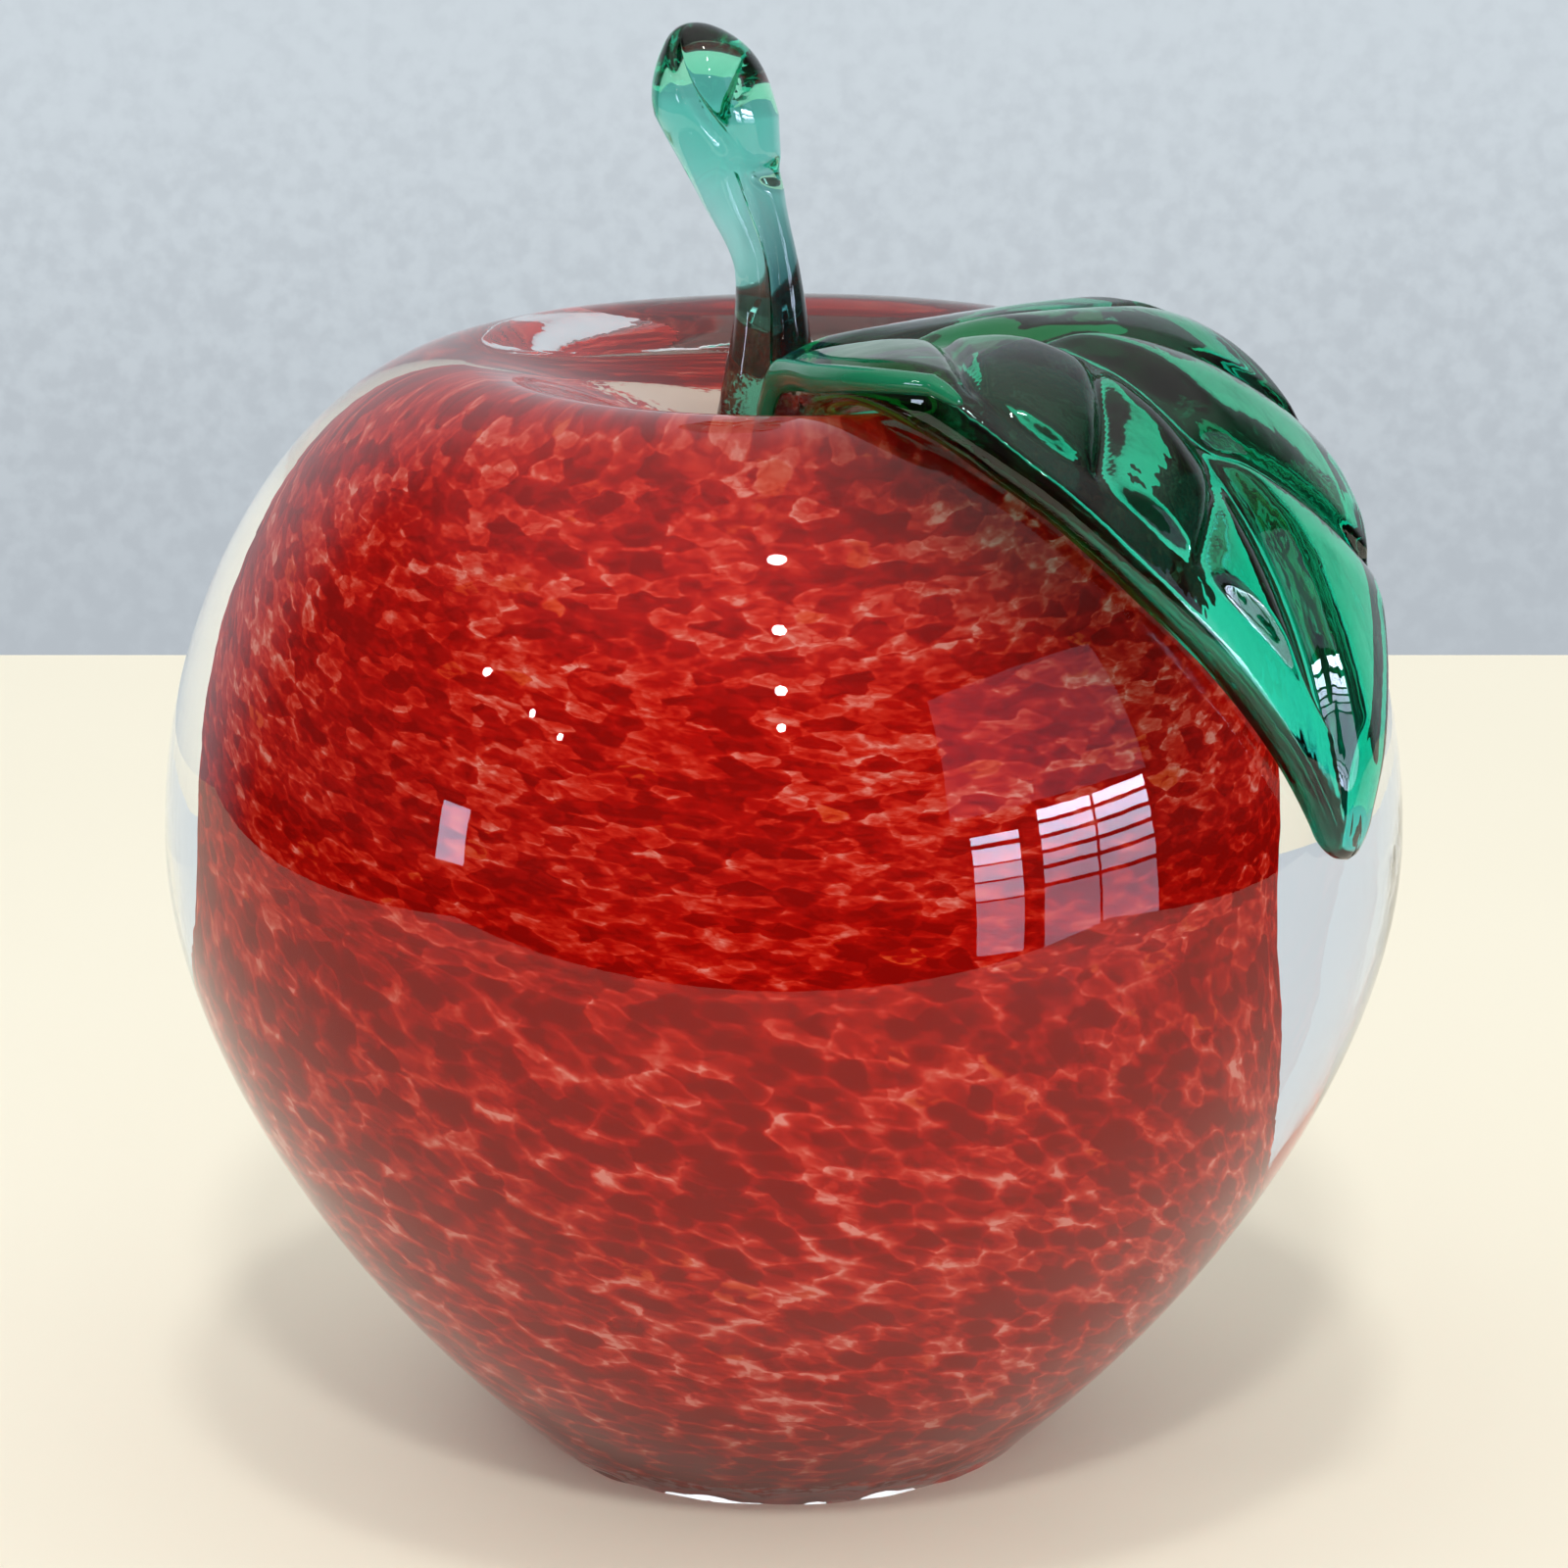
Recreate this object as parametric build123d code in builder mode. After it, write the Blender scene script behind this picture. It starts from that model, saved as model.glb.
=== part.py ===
from build123d import *
import os
from math import cos, radians, sin

# Sizes are in millimetres and angles in degrees.
# The origin is the middle of the flat base, +Z is up and the front faces -Y.

# Clear casing, a half outline turned about the vertical axis
base_radius = 20.4
base_bevel = 0.8
flank_angle = 41.9
flank_reach = 21.7
belly_radius = 50.0
belly_height = 50.8
belly_drop = 15.4
belly_rise = 21.3
crest_radius = 25.6
crest_height = 89.8
crest_reach = 11.7
dimple_depth = 9.0
rim_reach = 6.0
floor_reach = 5.3

# Clear glass left over the coloured core
belly_wall = 20.7
crest_wall = 8.8
dimple_wall = 4.3
base_wall = 3.0

# Coloured core, a half outline turned about its own upright axis
core_shift = -2.6
core_belly_height = 57.0
core_belly_drop = 14.7
core_belly_rise = 11.0
core_heel_inset = 4.9
core_heel_height = 13.0
core_heel_angle = 71.0
core_heel_drop = 4.6
core_heel_rise = 4.6
core_bottom_reach = 6.7
core_crest_radius = 14.0
core_crest_reach = 8.7
core_rim_reach = 3.0
core_floor_reach = 3.0
frit_thickness = 2.0

# Seam kept between fused pieces
seam = 0.05

# Stem, heights above the floor of the dimple and lean along X
stem_sink = 2.0
stem_length = 35.2
foot_radius = 5.0
foot_lean = -1.3
ankle_height = 6.0
ankle_radius = 3.9
ankle_lean = -1.1
neck_height = 15.5
neck_radius = 2.6
neck_lean = -1.3
throat_height = 21.5
throat_radius = 3.4
throat_lean = -3.3
bulb_height = 28.5
bulb_radius = 4.9
bulb_lean = -5.4
crown_height = 33.0
crown_radius = 3.4
crown_lean = -6.1
tip_radius = 0.9
tip_lean = -6.9

# Leaf, laid along one meridian of the casing from the stem to its point
leaf_heading = -35.0
leaf_swing = 2.5
leaf_half_width = 18.0
leaf_thickness = 4.4
leaf_front_edge = 2.2
leaf_back_edge = 4.0
leaf_bed = 2.5
leaf_point_reach = 45.0
leaf_point_half_width = 0.9
leaf_point_thickness = 2.2
stalk_half_width = 2.0
stalk_start = 2.6
stalk_dip = 5.4
stalk_set_off = 4.0

# Grooves pressed into the top of the leaf: one middle rib and pairs of slanting veins
rib_place = -2.0
rib_radius = 2.0
rib_depth = 1.2
vein_radius = 1.6
vein_depth = 1.0
vein_slant = 0.8
vein_margin = 2.6
front_veins = [-9.0, 3.0, 14.5]
back_veins = [-14.0, -2.5, 12.0]

# Levels worked out from the sizes above
dimple_floor = crest_height - dimple_depth
core_radius = belly_radius - belly_wall
core_top = crest_height - crest_wall
core_floor = dimple_floor - dimple_wall

core_plane = Plane((core_shift, 0, 0), x_dir=(1, 0, 0), z_dir=(0, -1, 0))
core_axis = Axis((core_shift, 0, 0), (0, 0, 1))


def draw_dimple(grow):
    """Outline of the dimple from its floor to the crest, grown outward."""
    floor = dimple_floor + grow
    top = crest_height + grow
    Bezier((0, floor), (floor_reach, floor), (crest_radius - rim_reach, top), (crest_radius, top))


def draw_side(grow):
    """Outline of the shoulder and the flank from the crest to the bevel of the base, grown outward."""
    top = crest_height + grow
    side = belly_radius + grow
    foot = base_radius + base_bevel + grow
    lead_x = foot + flank_reach * cos(radians(flank_angle))
    lead_z = base_bevel + flank_reach * sin(radians(flank_angle))
    Bezier(
        (crest_radius, top),
        (crest_radius + crest_reach, top),
        (side, belly_height + belly_rise),
        (side, belly_height),
    )
    Bezier((side, belly_height), (side, belly_height - belly_drop), (lead_x, lead_z), (foot, base_bevel))


def draw_casing(grow):
    """Closed half section of the casing, grown outward."""
    draw_dimple(grow)
    draw_side(grow)
    foot = base_radius + grow
    Polyline((foot + base_bevel, base_bevel), (foot, 0), (0, 0), (0, dimple_floor + grow))


def draw_core(inset):
    """Closed half section of the coloured core, drawn inward."""
    low = base_wall + inset
    side = core_radius - inset
    heel = side - core_heel_inset
    top = core_top - inset
    floor = core_floor - inset
    lean_x = cos(radians(core_heel_angle))
    lean_z = sin(radians(core_heel_angle))
    Bezier(
        (0, low),
        (core_bottom_reach, low),
        (heel - core_heel_drop * lean_x, core_heel_height - core_heel_drop * lean_z),
        (heel, core_heel_height),
    )
    Bezier(
        (heel, core_heel_height),
        (heel + core_heel_rise * lean_x, core_heel_height + core_heel_rise * lean_z),
        (side, core_belly_height - core_belly_drop),
        (side, core_belly_height),
    )
    Bezier(
        (side, core_belly_height),
        (side, core_belly_height + core_belly_rise),
        (core_crest_radius + core_crest_reach, top),
        (core_crest_radius, top),
    )
    Bezier(
        (core_crest_radius, top),
        (core_crest_radius - core_rim_reach, top),
        (core_floor_reach, floor),
        (0, floor),
    )
    Line((0, floor), (0, low))


def stem_sections(grow):
    """Level round sections of the stem from its foot to its tip, grown outward."""
    stations = [
        (-stem_sink, foot_lean, foot_radius),
        (ankle_height, ankle_lean, ankle_radius),
        (neck_height, neck_lean, neck_radius),
        (throat_height, throat_lean, throat_radius),
        (bulb_height, bulb_lean, bulb_radius),
        (crown_height, crown_lean, crown_radius),
        (stem_length, tip_lean, tip_radius),
    ]
    sections = []
    for height, lean, radius in stations:
        with BuildSketch(Plane((lean, 0, dimple_floor + height))) as section:
            Circle(radius + grow)
        sections.append(section.sketch)
    return sections


with BuildLine(Plane.XZ) as side_line:
    draw_side(0)

side = side_line.wire()


def leaf_plane(along):
    """Plane across the leaf, x along its width and y outward, from -1 at the stem to 1 at the point."""
    if along < 0:
        radius = crest_radius + along * (crest_radius - stalk_start)
        height = crest_height - stalk_dip * along**2
        run = crest_radius - stalk_start
        rise = -2 * stalk_dip * along
    else:
        share = along * leaf_point_reach / side.length
        radius, height = (side @ share).X, (side @ share).Z
        run, rise = (side % share).X, (side % share).Z
    heading = radians(leaf_heading + leaf_swing * max(along, 0) ** 3)
    outward = Vector(cos(heading), sin(heading), 0)
    backward = Vector(-sin(heading), cos(heading), 0)
    set_off = stalk_set_off * min(along, 0) ** 2
    return Plane(
        outward * radius - backward * set_off + Vector(0, 0, height),
        x_dir=backward,
        z_dir=outward * run + Vector(0, 0, rise),
    )


# Stations of the leaf: place along it, width to the front and width to the back as shares
leaf_stations = [
    (-1.00, stalk_half_width / leaf_half_width, stalk_half_width / leaf_half_width),
    (-0.78, 0.40, 0.60),
    (-0.52, 0.75, 0.88),
    (-0.22, 0.98, 0.94),
    (0.09, 0.99, 0.97),
    (0.27, 0.90, 1.00),
    (0.45, 0.76, 0.92),
    (0.62, 0.55, 0.68),
    (0.78, 0.34, 0.40),
    (0.91, 0.17, 0.18),
    (1.00, leaf_point_half_width / leaf_half_width, leaf_point_half_width / leaf_half_width),
]


def leaf_thinning(along):
    """Share of its full thickness that the leaf has at a place along it."""
    return 1 - (1 - leaf_point_thickness / leaf_thickness) * max(along, 0) ** 2


def leaf_fall(across):
    """How fast the casing falls away to both sides of a plane across the leaf."""
    radius = Vector(across.origin.X, across.origin.Y).length
    return max(-across.z_dir.Z, 0) / (2 * radius)


def leaf_sections():
    """Sections of the leaf from its stalk to its point, each bedded into the casing below it."""
    sections = []
    for along, front_share, back_share in leaf_stations:
        across = leaf_plane(along)
        front = -front_share * leaf_half_width
        back = back_share * leaf_half_width
        fall = leaf_fall(across)
        thinned = leaf_thinning(along)
        front_top = leaf_front_edge * thinned - fall * front**2
        back_top = leaf_back_edge * thinned - fall * back**2
        bed = -fall * max(front**2, back**2) - leaf_bed * (1 + min(along, 0))
        with BuildSketch(across) as section:
            with BuildLine():
                ThreePointArc((front, front_top), (0, leaf_thickness * thinned), (back, back_top))
                Polyline((back, back_top), (back, bed), (front, bed), (front, front_top))
            make_face()
        sections.append(section.sketch)
    return sections


def leaf_half(along, hand):
    """Half width of the leaf at a place along it, to the front for hand -1 and to the back for hand 1."""
    column = 1 if hand < 0 else 2
    for near, far in zip(leaf_stations, leaf_stations[1:]):
        if along <= far[0]:
            share = (along - near[0]) / (far[0] - near[0])
            return (near[column] + share * (far[column] - near[column])) * leaf_half_width
    return leaf_point_half_width


def leaf_top(along, place, lift):
    """Point above the top of the leaf, at a place along it and a place across it."""
    across = leaf_plane(along)
    hand = -1 if place < 0 else 1
    edge = leaf_front_edge if hand < 0 else leaf_back_edge
    drop = (leaf_thickness - edge) * (place / leaf_half(along, hand)) ** 2
    top = (leaf_thickness - drop) * leaf_thinning(along) - leaf_fall(across) * place**2
    return across.from_local_coords(Vector(place, top + lift, 0))


def groove(points, radius):
    """Round groove along a line of points."""
    with BuildPart() as cutter:
        with BuildLine() as line:
            Spline(*points)
        with BuildSketch(line.line ^ 0):
            Circle(radius)
        sweep(path=line.line)
    return cutter.part


def rib_groove():
    """Groove of the middle rib, which runs out before both ends of the leaf."""
    deep = rib_radius - rib_depth
    stops = [(-0.75, rib_radius), (-0.5, deep), (-0.1, deep), (0.3, deep), (0.6, deep), (0.85, rib_radius)]
    return groove([leaf_top(along, rib_place, lift) for along, lift in stops], rib_radius)


def vein_groove(start, hand):
    """Groove of one vein, from the middle rib out to where it fades before the edge."""
    deep = vein_radius - vein_depth

    def place_along(off):
        """Place along the leaf at a distance off the middle rib."""
        run = start + vein_slant * off
        return run / (leaf_point_reach if run > 0 else crest_radius - stalk_start)

    reach = 0
    while abs(rib_place + hand * (reach + 1)) < leaf_half(place_along(reach + 1), hand) - vein_margin:
        reach += 1
    stops = [(0.5, deep), (0.4 * reach, deep), (0.7 * reach, deep), (reach, vein_radius)]
    points = [leaf_top(place_along(off), rib_place + hand * off, lift) for off, lift in stops]
    return groove(points, vein_radius)


# Clear outer casing, hollow where it holds the coloured core
with BuildPart() as clear_casing:
    with BuildSketch(Plane.XZ):
        with BuildLine():
            draw_casing(0)
        make_face()
    revolve(axis=Axis.Z)
    with BuildSketch(core_plane):
        with BuildLine():
            draw_core(-seam)
        make_face()
    revolve(axis=core_axis, mode=Mode.SUBTRACT)

# Red frit picked up on the first gather and melted into a closed layer
with BuildPart() as red_frit_layer:
    with BuildSketch(core_plane):
        with BuildLine():
            draw_core(0)
        make_face()
    revolve(axis=core_axis)
    with BuildSketch(core_plane):
        with BuildLine():
            draw_core(frit_thickness)
        make_face()
    revolve(axis=core_axis, mode=Mode.SUBTRACT)

# First gather of glass, which fills the inside of the frit layer
with BuildPart() as core_gather:
    with BuildSketch(core_plane):
        with BuildLine():
            draw_core(frit_thickness + seam)
        make_face()
    revolve(axis=core_axis)

# Green stem, seated on the floor of the dimple
with BuildPart() as stem:
    loft(sections=stem_sections(0))
    with BuildSketch(Plane.XZ):
        with BuildLine():
            draw_casing(seam)
        make_face()
    revolve(axis=Axis.Z, mode=Mode.SUBTRACT)

# Green leaf, rooted at the stem and laid over the shoulder of the casing
with BuildPart() as leaf:
    loft(sections=leaf_sections())
    with BuildSketch(Plane.XZ):
        with BuildLine():
            draw_casing(seam)
        make_face()
    revolve(axis=Axis.Z, mode=Mode.SUBTRACT)
    loft(sections=stem_sections(seam), mode=Mode.SUBTRACT)
    add(rib_groove(), mode=Mode.SUBTRACT)
    for start in front_veins:
        add(vein_groove(start, -1), mode=Mode.SUBTRACT)
    for start in back_veins:
        add(vein_groove(start, 1), mode=Mode.SUBTRACT)

clear_casing.part.label = "clear_casing"
red_frit_layer.part.label = "red_frit_layer"
core_gather.part.label = "core_gather"
stem.part.label = "stem"
leaf.part.label = "leaf"

os.makedirs("parts", exist_ok=True)
export_step(clear_casing.part, "parts/clear_casing.step")
export_step(red_frit_layer.part, "parts/red_frit_layer.step")
export_step(core_gather.part, "parts/core_gather.step")
export_step(stem.part, "parts/stem.step")
export_step(leaf.part, "parts/leaf.step")
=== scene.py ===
"""Looks of a cased glass apple: clear casing, red frit core, green stem and green leaf.

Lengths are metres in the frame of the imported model: the origin is the middle of the flat base,
+Z is up and the front faces -Y. Angles are radians.
"""

import logging
import math
from dataclasses import dataclass
from enum import Enum
from typing import Any, Callable, Sequence

import bmesh
import bpy
import numpy as np
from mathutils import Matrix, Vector, noise
from mathutils.geometry import interpolate_bezier


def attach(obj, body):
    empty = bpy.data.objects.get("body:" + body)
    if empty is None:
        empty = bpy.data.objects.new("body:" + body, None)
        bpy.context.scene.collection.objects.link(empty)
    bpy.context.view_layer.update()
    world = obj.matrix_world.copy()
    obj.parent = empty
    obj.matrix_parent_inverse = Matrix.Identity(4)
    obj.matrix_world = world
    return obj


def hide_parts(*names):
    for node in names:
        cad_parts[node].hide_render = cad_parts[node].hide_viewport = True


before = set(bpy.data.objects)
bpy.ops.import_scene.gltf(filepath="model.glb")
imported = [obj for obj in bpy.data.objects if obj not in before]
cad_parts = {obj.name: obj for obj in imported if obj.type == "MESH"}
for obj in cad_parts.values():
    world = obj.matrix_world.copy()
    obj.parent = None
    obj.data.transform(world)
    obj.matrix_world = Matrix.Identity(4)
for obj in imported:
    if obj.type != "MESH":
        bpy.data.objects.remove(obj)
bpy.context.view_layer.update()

MM = 0.001
BODY = "root"
LOG = logging.getLogger("glass_apple")

SHARP_ANGLE = math.radians(40)
MERGE = 0.001 * MM
WINDOW_DISTANCE = 1.5
DRAWN_LINES = (1.0, 1.0, 0.15)
HAZY_LINES = (0.45, 0.75)

Colour = tuple[float, float, float]
Place = tuple[float, float, float]
Pair = tuple[float, float]
Band = tuple[float, float, float, float]
Stations = Sequence[Pair]
Spans = list[list[Pair]]
Socket = bpy.types.NodeSocket


def eased(stations: Stations, place: float) -> float:
    """Value at a place on the smooth curve through a row of stations.

    Args:
        stations: Pairs of place and value, in rising order of place.
        place: Where the curve is read; it is held within the row.

    Returns:
        The value of the curve there.
    """
    last = len(stations) - 1
    place = min(max(place, stations[0][0]), stations[last][0])
    k = next(i for i in range(last) if place <= stations[i + 1][0])

    def slope(i: int) -> float:
        """Slope of the curve at one station, from its neighbours."""
        low, high = stations[max(i - 1, 0)], stations[min(i + 1, last)]
        return (high[1] - low[1]) / (high[0] - low[0])

    (x0, y0), (x1, y1) = stations[k], stations[k + 1]
    span = x1 - x0
    t = (place - x0) / span
    start, end = slope(k) * span, slope(k + 1) * span
    bend = 2 * (y0 - y1) + start + end
    return y0 + t * (start + t * (3 * (y1 - y0) - 2 * start - end + t * bend))


def smooth_step(low: float, high: float, value: float) -> float:
    """Rise from 0 at low to 1 at high with level ends."""
    t = min(max((value - low) / (high - low), 0.0), 1.0)
    return t * t * (3 - 2 * t)


def bump_at(value: float, middle: float, width: float) -> float:
    """Round bump of height 1 at its middle."""
    return math.exp(-(((value - middle) / width) ** 2))


class Outline:
    """Half outline of a turned piece in the XZ plane, made of curved spans end to end."""

    STEP = 0.5 * MM

    def __init__(self, spans: Spans, steps: int) -> None:
        """Walk the spans.

        Args:
            spans: Four control points each, as radius and height.
            steps: Points along each span.
        """
        self.points: list[Vector] = []
        for span in spans:
            knots = [Vector((radius, 0.0, height)) for radius, height in span]
            walked = interpolate_bezier(*knots, steps)
            self.points += walked[1:] if self.points else walked
        gaps = [(b - a).length for a, b in zip(self.points, self.points[1:])]
        self.lengths = np.concatenate([[0.0], np.cumsum(gaps)])
        self.radii = np.array([p.x for p in self.points])
        self.heights = np.array([p.z for p in self.points])

    def at(self, distance: float) -> tuple[float, float, float, float]:
        """Place and direction at a distance along the outline.

        Args:
            distance: Length along the outline from its start.

        Returns:
            Radius, height and the two parts of the unit direction there.
        """
        places = (distance, distance - self.STEP, distance + self.STEP)
        radius, back_r, ahead_r = np.interp(places, self.lengths, self.radii).tolist()
        height, back_h, ahead_h = np.interp(places, self.lengths, self.heights).tolist()
        run, rise = ahead_r - back_r, ahead_h - back_h
        size = math.hypot(run, rise)
        return radius, height, run / size, rise / size

    def nearest(self, radius: float, height: float) -> Pair:
        """Point of the outline that lies closest to another point.

        Args:
            radius: Distance of that point from the axis.
            height: Its height.

        Returns:
            Radius and height of the closest point.
        """
        ahead_r, ahead_h = np.diff(self.radii), np.diff(self.heights)
        to_r, to_h = radius - self.radii[:-1], height - self.heights[:-1]
        share = (to_r * ahead_r + to_h * ahead_h) / (ahead_r**2 + ahead_h**2)
        share = np.clip(share, 0.0, 1.0)
        near_r = self.radii[:-1] + share * ahead_r
        near_h = self.heights[:-1] + share * ahead_h
        best = int(np.argmin((near_r - radius) ** 2 + (near_h - height) ** 2))
        return float(near_r[best]), float(near_h[best])


def turned(points: Sequence[Vector], steps: int) -> bmesh.types.BMesh:
    """Turn a half outline about the upright axis into a closed skin.

    Args:
        points: Outline from one point of the axis to another.
        steps: Faces around the axis.

    Returns:
        The closed skin with its faces outward.
    """
    bm = bmesh.new()
    verts = [bm.verts.new(point) for point in points]
    edges = [bm.edges.new(pair) for pair in zip(verts, verts[1:])]
    round_axis = {"cent": (0, 0, 0), "axis": (0, 0, 1), "angle": math.tau}
    bmesh.ops.spin(bm, geom=verts + edges, steps=steps, use_merge=True, **round_axis)
    bmesh.ops.remove_doubles(bm, verts=bm.verts[:], dist=MERGE)
    bmesh.ops.recalc_face_normals(bm, faces=bm.faces[:])
    return bm


def drawn_out(around: int, along: int, place: Callable[[float, float], Vector]) -> bmesh.types.BMesh:
    """Draw a ball of hot glass out into a long closed form.

    Args:
        around: Faces around each section.
        along: Sections from end to end.
        place: Gives the point for a share of the length, from 0 to 1, and an angle round the section.

    Returns:
        The closed form with its faces outward.
    """
    bm = bmesh.new()
    bmesh.ops.create_uvsphere(bm, u_segments=around, v_segments=along, radius=1.0)
    for vert in bm.verts:
        share = math.acos(min(max(vert.co.z, -1.0), 1.0)) / math.pi
        vert.co = place(share, math.atan2(vert.co.y, vert.co.x))
    bmesh.ops.recalc_face_normals(bm, faces=bm.faces[:])
    return bm


def rippled(bm: bmesh.types.BMesh, size: float, height: float, seed: float) -> None:
    """Push a skin in and out a little, as hand-shaped glass is.

    Args:
        bm: The skin that is changed.
        size: Length of one ripple.
        height: Most that a point moves.
        seed: Shifts the ripples so that no two pieces match.
    """
    bm.normal_update()
    for vert in bm.verts:
        place = vert.co / size + Vector((seed, seed, seed))
        vert.co += vert.normal * (height * noise.noise(place))


def finished(
    bm: bmesh.types.BMesh, name: str, finish: bpy.types.Material, node: str
) -> bpy.types.Object:
    """Make a piece of a mesh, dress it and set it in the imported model.

    Args:
        bm: The mesh, which is freed.
        name: Name of the new piece.
        finish: Its material.
        node: CAD node that it stands for.

    Returns:
        The new piece.
    """
    mesh = bpy.data.meshes.new(name)
    bm.to_mesh(mesh)
    bm.free()
    mesh.shade_smooth()
    mesh.set_sharp_from_angle(angle=SHARP_ANGLE)
    mesh.materials.append(finish)
    piece = bpy.data.objects.new(name, mesh)
    bpy.context.scene.collection.objects.link(piece)
    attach(piece, BODY)
    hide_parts(node)
    LOG.info("%s: %d faces", name, len(mesh.polygons))
    return piece


class Board:
    """Adds nodes to one tree and joins them."""

    def __init__(self, tree: bpy.types.NodeTree, output: str = "") -> None:
        """Start on a tree, with an output node where its kind is given."""
        self.tree = tree
        self.output = self.add(output) if output else None

    def add(self, kind: str, inputs: dict[Any, Any] | None = None, **settings: Any) -> bpy.types.Node:
        """Add one node.

        Args:
            kind: Node type without its ShaderNode prefix.
            inputs: Sockets to join or plain values to set, by input name or number.
            settings: Properties of the node.

        Returns:
            The new node.
        """
        node = self.tree.nodes.new("ShaderNode" + kind)
        for name, value in settings.items():
            setattr(node, name, value)
        for name, value in (inputs or {}).items():
            if isinstance(value, Socket):
                self.tree.links.new(value, node.inputs[name])
            else:
                node.inputs[name].default_value = value
        return node

    def show(self, shader: bpy.types.Node, socket: str = "Surface") -> None:
        """Join a shader to the output node."""
        self.tree.links.new(shader.outputs[0], self.output.inputs[socket])

    def math(self, operation: str, first: Any, second: Any = 0.0) -> Socket:
        """Result of one sum."""
        return self.add("Math", {0: first, 1: second}, operation=operation).outputs[0]

    def ramp(self, value: Any, low: Any, high: Any, start: Any = 0.0, end: Any = 1.0) -> Socket:
        """Value carried from one range to another with level ends."""
        sockets = {"Value": value, "From Min": low, "From Max": high, "To Min": start, "To Max": end}
        return self.add("MapRange", sockets, interpolation_type="SMOOTHSTEP").outputs["Result"]

    def blend(self, share: Any, first: Any, second: Any) -> Socket:
        """Colour between two colours."""
        sockets = {0: share, 6: opaque(first), 7: opaque(second)}
        return self.add("Mix", sockets, data_type="RGBA").outputs[2]

    def grain(self, vector: Any, size: float, detail: float = 2.0) -> bpy.types.Node:
        """Cloudy noise with features of about one size."""
        return self.add("TexNoise", {"Vector": vector, "Scale": 1.0 / size, "Detail": detail})


def opaque(colour: Any) -> Any:
    """Give a plain colour its fourth value and leave a socket as it is."""
    return colour if isinstance(colour, Socket) else (*colour, 1.0)


def blank_material(name: str) -> tuple[bpy.types.Material, Board]:
    """Start a material with nothing but its output.

    Args:
        name: Name of the material.

    Returns:
        The material and the board that adds its nodes.
    """
    material = bpy.data.materials.new(name)
    material.use_nodes = True
    material.node_tree.nodes.clear()
    return material, Board(material.node_tree, "OutputMaterial")


def hot_worked_group() -> bpy.types.NodeTree:
    """Shared relief of hot-worked glass: slow waves with fine drawn lines over them.

    Returns:
        The node group, which is built once.
    """
    name = "hot_worked_relief"
    if name in bpy.data.node_groups:
        return bpy.data.node_groups[name]
    tree = bpy.data.node_groups.new(name, "ShaderNodeTree")
    tree.interface.new_socket("Vector", in_out="INPUT", socket_type="NodeSocketVector")
    for value in ("Wave Scale", "Line Scale", "Line Share"):
        tree.interface.new_socket(value, in_out="INPUT", socket_type="NodeSocketFloat")
    for value in ("Height", "Haze"):
        tree.interface.new_socket(value, in_out="OUTPUT", socket_type="NodeSocketFloat")
    board = Board(tree)
    given = tree.nodes.new("NodeGroupInput").outputs
    wave = board.add("TexNoise", {"Vector": given["Vector"], "Scale": given["Wave Scale"], "Detail": 1.0})
    drawn = board.add("VectorMath", {0: given["Vector"], 1: DRAWN_LINES}, operation="MULTIPLY")
    line = board.add("TexNoise", {"Vector": drawn.outputs[0], "Scale": given["Line Scale"], "Detail": 2.0})
    lines = board.math("MULTIPLY", line.outputs["Fac"], given["Line Share"])
    height = board.math("ADD", wave.outputs["Fac"], lines)
    haze = board.ramp(line.outputs["Fac"], *HAZY_LINES)
    result = tree.nodes.new("NodeGroupOutput").inputs
    tree.links.new(height, result["Height"])
    tree.links.new(haze, result["Haze"])
    return tree


@dataclass(frozen=True)
class GlassFinish:
    """See-through glass, clear or coloured through its depth."""

    name: str
    wave: float
    line: float
    relief: float
    haze: float = 0.004
    tint: Colour = (0.985, 0.995, 0.99)
    soaked: Colour | None = None
    soak: float = 0.0
    gloss: Colour = (1.0, 1.0, 1.0)
    clarity: float = 1.0
    light_through: float = 0.0

    IOR = 1.5
    LINE_SHARE = 0.25

    def shade(self, board: Board, place: Socket) -> Any:
        """Tint that light takes at the surface."""
        return opaque(self.tint)

    def build(self) -> bpy.types.Material:
        """Material with hot-worked relief and, for coloured glass, absorption inside.

        Returns:
            The finished material.
        """
        material, board = blank_material(self.name)
        place = board.add("TexCoord").outputs["Object"]
        worked = board.add("Group", node_tree=hot_worked_group())
        board.tree.links.new(place, worked.inputs["Vector"])
        worked.inputs["Wave Scale"].default_value = 1.0 / self.wave
        worked.inputs["Line Scale"].default_value = 1.0 / self.line
        worked.inputs["Line Share"].default_value = self.LINE_SHARE
        bump = board.add("Bump", {"Height": worked.outputs["Height"], "Distance": self.relief})
        rough = board.math("MULTIPLY", worked.outputs["Haze"], self.haze)
        surface = board.add(
            "BsdfPrincipled",
            {
                "Base Color": self.shade(board, place),
                "Roughness": rough,
                "IOR": self.IOR,
                "Transmission Weight": self.clarity,
                "Specular Tint": opaque(self.gloss),
                "Normal": bump.outputs["Normal"],
            },
        )
        if self.light_through > 0.0:
            passing = board.add("BsdfTransparent", {"Color": opaque((self.light_through,) * 3)})
            shadow = board.add("LightPath").outputs["Is Shadow Ray"]
            surface = board.add("MixShader", {0: shadow, 1: surface.outputs[0], 2: passing.outputs[0]})
        board.show(surface)
        if self.soaked is not None:
            soak = {"Color": opaque(self.soaked), "Density": self.soak}
            board.show(board.add("VolumeAbsorption", soak), "Volume")
        return material


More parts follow.
